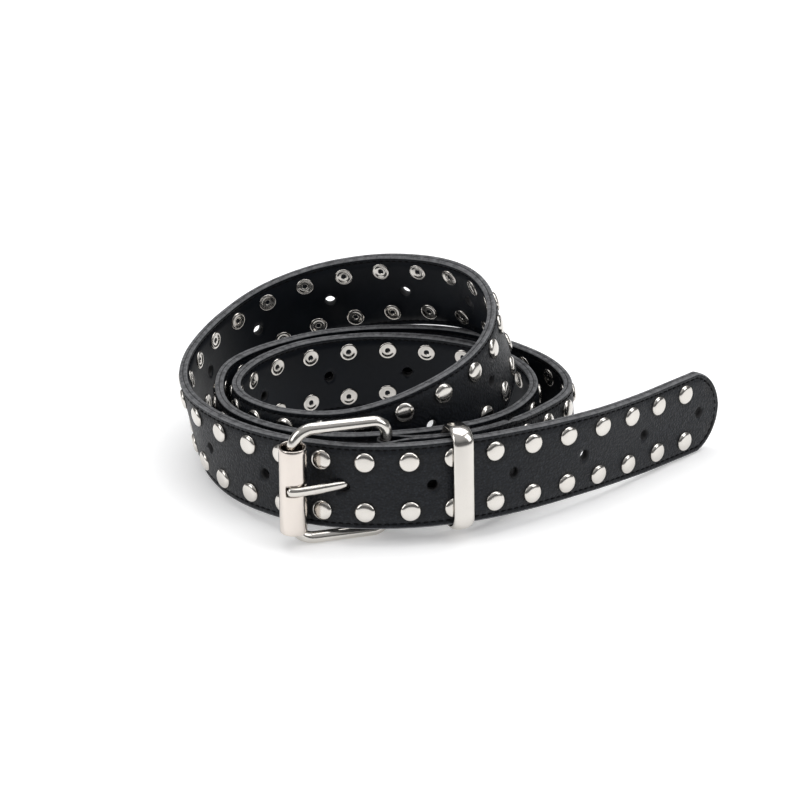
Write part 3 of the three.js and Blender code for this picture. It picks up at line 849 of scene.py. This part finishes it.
def stitches(material):
    """Stitches in the grooves along both edges, on both faces of the strap."""
    distances, across, turns = seam_line()
    place, travel, up, out = ROUTE_LINE.at(distances)
    outer, inner = faces_at(ROUTE_LINE.length - distances)
    along = np.cos(turns)[:, None] * travel + np.sin(turns)[:, None] * up
    body = turned(STITCH_OUTLINE, STITCH_THICKNESS / 2, STITCH_LENGTH / 2, STITCH_SIDES)
    sink = STITCH_GROOVE * 0.55
    parts, faces, count = [], [], 0
    for face in (outer - sink, inner + sink):
        centres = place + across[:, None] * up + face[:, None] * out
        points, more = stamped(body, centres, np.cross(out, along), out, along)
        parts.append(points)
        faces += [tuple(v + count for v in f) for f in more]
        count += len(points)
    dress(mesh_object("stitches", np.concatenate(parts), faces, [material]), "strap")


# Studs

def stud_places(face):
    """Places and directions of every stud, in two rows, each a little off its mark."""
    marks = np.repeat(TIP_TO_FIRST_STUD + np.arange(STUD_PAIRS) * STUD_PITCH, 2)
    rows = np.tile([1.0, -1.0], STUD_PAIRS)
    chance = np.random.default_rng(STUD_SEED)
    distances = marks + chance.uniform(-STUD_DRIFT_ALONG, STUD_DRIFT_ALONG, len(marks))
    place, travel, up, out = ROUTE_LINE.at(distances)
    drift = chance.uniform(-STUD_DRIFT_ACROSS, STUD_DRIFT_ACROSS, len(marks))
    across = rows * ROW_SPACING / 2 + drift
    tilt = chance.uniform(-STUD_LEAN, STUD_LEAN, (len(marks), 2))
    axis = unit(out + tilt[:, :1] * travel + tilt[:, 1:] * up)
    side = unit(np.cross(up, axis))
    return place + across[:, None] * up + face * out, side, np.cross(axis, side), axis


def studs(material):
    """Domed caps on the strap's front, and hollow rivet backs on its back."""
    face = STRAP_THICKNESS / 2
    place, first, second, axis = stud_places(face)
    cap = turned(CAP_OUTLINE, CAP_DIAMETER / 2, CAP_HEIGHT, CAP_SIDES)
    caps = mesh_object("stud_caps", *stamped(cap, place, first, second, axis), [material])
    dress(caps, "strap")
    place, first, second, axis = stud_places(-face)
    back = turned(BACK_OUTLINE, BACK_DIAMETER / 2, BACK_HEIGHT, BACK_SIDES)
    backs = mesh_object("rivet_backs", *stamped(back, place, -first, second, -axis), [material])
    dress(backs, "strap")


# Buckle

def rounded_loop(centre, first, second, half_x, half_y, radii, steps):
    """Places round a rectangle with rounded corners, and the outward direction at each."""
    points = []
    for quarter, (sx, sy) in enumerate(((1, 1), (-1, 1), (-1, -1), (1, -1))):
        radius = radii[0] if sx > 0 else radii[1]
        for i in range(steps + 1):
            angle = math.pi / 2 * (quarter + i / steps)
            x = sx * (half_x - radius) + radius * math.cos(angle)
            y = sy * (half_y - radius) + radius * math.sin(angle)
            outward = math.cos(angle) * first + math.sin(angle) * second
            points.append((centre + x * first + y * second, outward))
    return points


def buckle_frame(material):
    """One bar, bent to a rectangle with rounded corners."""
    centre = BUCKLE["heel"] + BUCKLE["reach"] * FRAME_REACH / 2 + UP * FRAME_HEIGHT / 2
    half_height = (FRAME_HEIGHT - BAR_DIAMETER) / 2
    radii = (ROLLER_CORNER_RADIUS, HEEL_CORNER_RADIUS)
    loop = rounded_loop(centre, BUCKLE["reach"], UP, FRAME_REACH / 2, half_height, radii, 12)
    rings = []
    for place, outward in loop:
        ring = []
        for i in range(BAR_SIDES):
            angle = 2 * math.pi * i / BAR_SIDES
            radius = BAR_DIAMETER / 2 * (1 - BAR_SQUEEZE * math.sin(2 * angle) ** 2)
            side = math.cos(angle) * outward + math.sin(angle) * BUCKLE["out"]
            ring.append(place + radius * side)
        rings.append(ring)
    piece = mesh_object("buckle_frame_bar", *sweep(rings, looped=True), [material])
    dress(piece, "buckle_frame", "buckle_frame")


def roller(material):
    """A sheet rolled into a tube, with a seam at the back, rounded ends and a notch in front."""
    axis = BUCKLE["heel"] + BUCKLE["reach"] * FRAME_REACH
    outer = ROLLER_DIAMETER / 2
    inner = outer - ROLLER_WALL
    seam = ROLLER_SEAM / outer
    bottom, top = ROLLER_BOTTOM, ROLLER_BOTTOM + ROLLER_LENGTH
    soft = ROLLER_WALL * 0.3
    heights = [bottom + soft, *np.linspace(bottom + 2, top - 2, 12), top - soft]
    wall = [(inner, z) for z in heights[::-1]] + [(inner + soft, bottom), (outer - soft, bottom)]
    wall += [(outer, z) for z in heights] + [(outer - soft, top), (inner + soft, top)]
    rings = []
    for angle in np.linspace(seam, 2 * math.pi - seam, 73):
        side = -math.cos(angle) * BUCKLE["out"] + math.sin(angle) * BUCKLE["reach"]
        rings.append([axis + r * side + z * UP for r, z in wall])
    piece = mesh_object("roller_tube", *sweep(rings), [material])
    cut(piece, notch_cutter(axis, outer, material))
    dress(piece, "roller", "roller")


def notch_cutter(axis, radius, material):
    """A long hole with rounded corners, from which the notch in the roller's front is cut."""
    height = BUCKLE["prong"] + PRONG_RISE_AT_ROLLER * PRONG_RISE
    middle = axis - NOTCH_SHIFT * BUCKLE["reach"] + UP * height
    half_width = PRONG_WIDTH / 2 + NOTCH_GAP
    half_length = radius - NOTCH_END - NOTCH_SHIFT
    radii = (NOTCH_CORNER_RADIUS, NOTCH_CORNER_RADIUS)
    rings = []
    for out in (radius / 2, 2 * radius):
        centre = middle + out * BUCKLE["out"]
        loop = rounded_loop(centre, UP, BUCKLE["reach"], half_width, half_length, radii, 5)
        rings.append([place for place, _ in loop])
    return mesh_object("cut_notch", *sweep(rings), [material])


def squared(value):
    """A sine or cosine, drawn from a circle towards a square."""
    return math.copysign(abs(value) ** EYE_SQUARENESS, value)


def prong(material):
    """The shank, and the eye that is curled round the heel bar."""
    shank = mesh_object("prong_shank", *sweep(prong_rings()), [material])
    radius = BAR_DIAMETER / 2 + GAP + PRONG_EYE_WALL / 2
    centre = BUCKLE["heel"] + UP * BUCKLE["prong"]
    half = PRONG_WIDTH / 2
    rings = []
    for angle in np.linspace(0, 2 * math.pi, 49)[:-1]:
        side = math.cos(angle) * BUCKLE["reach"] + math.sin(angle) * BUCKLE["out"]
        ring = []
        for turn in np.arange(EYE_SIDES) * 2 * math.pi / EYE_SIDES:
            thick = squared(math.cos(turn)) * PRONG_EYE_WALL / 2
            wide = squared(math.sin(turn)) * half
            ring.append(centre + (radius + thick) * side - wide * UP)
        rings.append(ring)
    eye = mesh_object("prong_eye", *sweep(rings, looped=True), [material])
    dress(shank, "prong", "prong")
    dress(eye, "prong")


def keeper_section():
    """The band's D section, flat inside and domed outside: rows of thickness and place across it."""
    half = KEEPER_WIDTH / 2
    rim = KEEPER_EDGE * 0.6
    rise = KEEPER_EDGE + KEEPER_DOME - rim
    inside = [(0.12, -half + 0.1), (0.0, -half + 0.3), (0.0, half - 0.3), (0.12, half - 0.1)]
    outside = [(rim + rise * (1 - t * t) ** 0.6, half * t) for t in np.linspace(-1, 1, 13)[::-1]]
    return inside + outside


def keeper(material):
    """A band round the tongue, its studs and the strap behind it."""
    seat = PRONG_HOLE_DISTANCE - KEEPER_FROM_PRONG_HOLE
    place, travel, up, out = (value[0] for value in ROUTE_LINE.at(seat))
    front = STRAP_THICKNESS / 2 + CAP_HEIGHT + GAP
    back = -LAYER_GAP - STRAP_THICKNESS / 2 - LOOSE
    half_height = KEEPER_HEIGHT / 2 - KEEPER_EDGE - KEEPER_DOME / 2
    rise = half_height - STRAP_WIDTH / 2 - KEEPER_PLAY
    middle = place + out * (front + back) / 2 + up * rise
    radii = (KEEPER_FRONT_RADIUS, KEEPER_BACK_RADIUS)
    rings = []
    for spot, outward in rounded_loop(middle, out, up, (front - back) / 2, half_height, radii, 10):
        rings.append([spot + thick * outward + wide * travel for thick, wide in keeper_section()])
    piece = mesh_object("keeper_band", *sweep(rings, looped=True), [material])
    dress(piece, "keeper", "keeper")


# Stage

def floor():
    shader = Shader("paper")
    grain = shader.noise(40.0, 4.0)
    shader.link("Base Color", shader.blend(grain, (0.90, 0.90, 0.905), (0.93, 0.93, 0.93)))
    shader.set(Roughness=0.55, Emission_Color=(1, 1, 1, 1), Emission_Strength=0.3)
    mesh = bpy.data.meshes.new("floor")
    far = 6.0
    mesh.from_pydata([(-far, -far, 0), (far, -far, 0), (far, far, 0), (-far, far, 0)], [], [(0, 1, 2, 3)])
    mesh.materials.append(shader.material)
    piece = bpy.data.objects.new("floor", mesh)
    bpy.context.scene.collection.objects.link(piece)


def area_light(name, place, target, size, power):
    light = bpy.data.lights.new(name, "AREA")
    light.shape = "RECTANGLE"
    light.size, light.size_y = size
    light.energy = power
    lamp = bpy.data.objects.new(name, light)
    lamp.location = place
    lamp.rotation_euler = (Vector(target) - Vector(place)).to_track_quat("-Z", "Y").to_euler()
    bpy.context.scene.collection.objects.link(lamp)


def world():
    """A studio that is bright overhead and at the sides, and dim behind the camera."""
    place = bpy.data.worlds.new("studio")
    bpy.context.scene.world = place
    place.use_nodes = True
    tree = place.node_tree
    background = tree.nodes["Background"]
    coordinates = tree.nodes.new("ShaderNodeTexCoord")
    split = tree.nodes.new("ShaderNodeSeparateXYZ")
    tree.links.new(coordinates.outputs["Generated"], split.inputs[0])
    ramp = tree.nodes.new("ShaderNodeValToRGB")
    tree.links.new(split.outputs["Z"], ramp.inputs[0])
    stops = [(0.0, 0.85), (0.06, 0.30), (0.35, 0.22), (0.62, 0.75), (1.0, 1.0)]
    elements = ramp.color_ramp.elements
    elements[0].position, elements[1].position = stops[0][0], stops[-1][0]
    for position, _ in stops[1:-1]:
        elements.new(position)
    for element, (_, value) in zip(elements, stops):
        element.color = (value, value, value * 1.01, 1)
    tree.links.new(ramp.outputs[0], background.inputs[0])
    background.inputs[1].default_value = STUDIO_STRENGTH


def camera():
    data = bpy.data.cameras.new("camera")
    data.lens = CAMERA_LENS
    data.sensor_width = 36.0
    data.clip_end = 20.0
    piece = bpy.data.objects.new("camera", data)
    target = Vector((np.array(CAMERA_TARGET) + SHIFT * (1, 1, 0)) * MM)
    lift = math.radians(CAMERA_ELEVATION)
    away = Vector((0, -math.cos(lift), math.sin(lift)))
    piece.location = target + away * CAMERA_DISTANCE * MM
    piece.rotation_euler = (-away).to_track_quat("-Z", "Y").to_euler()
    bpy.context.scene.collection.objects.link(piece)
    bpy.context.scene.camera = piece


def lights():
    """A wide light overhead and a smaller one on either side, in metres and watts."""
    area_light("overhead", (0.1, 0.25, 1.1), (0.0, 0.0, 0.0), (1.3, 1.0), 9.0)
    area_light("left", (-1.1, -0.5, 0.7), (0.0, 0.0, 0.03), (0.7, 0.9), 4.2)
    area_light("right", (1.1, -0.3, 0.8), (0.0, 0.0, 0.03), (0.6, 0.9), 3.6)
    bpy.context.scene.view_settings.view_transform = "Standard"


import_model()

# The part's origin is the middle of its footprint. The buckle frame's box shows where that is.
frame_low, frame_high = (np.array(corner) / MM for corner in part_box("buckle_frame"))
frame_middle = BUCKLE["heel"] + BUCKLE["reach"] * FRAME_REACH / 2 + UP * FRAME_HEIGHT / 2
SHIFT = (frame_low + frame_high) / 2 - frame_middle

hole_material = hole_wall()
strap([leather_face(), leather_edge(), leather_back(), hole_material])
stitches(thread())
studs(nickel("stud_nickel", *POLISHED, 0.6))
buckle_frame(nickel("frame_nickel", *POLISHED))
roller(nickel("roller_nickel", *BRUSHED, 1.6))
prong(nickel("prong_nickel", *POLISHED))
keeper(nickel("keeper_nickel", *POLISHED))
floor()
camera()
lights()
world()
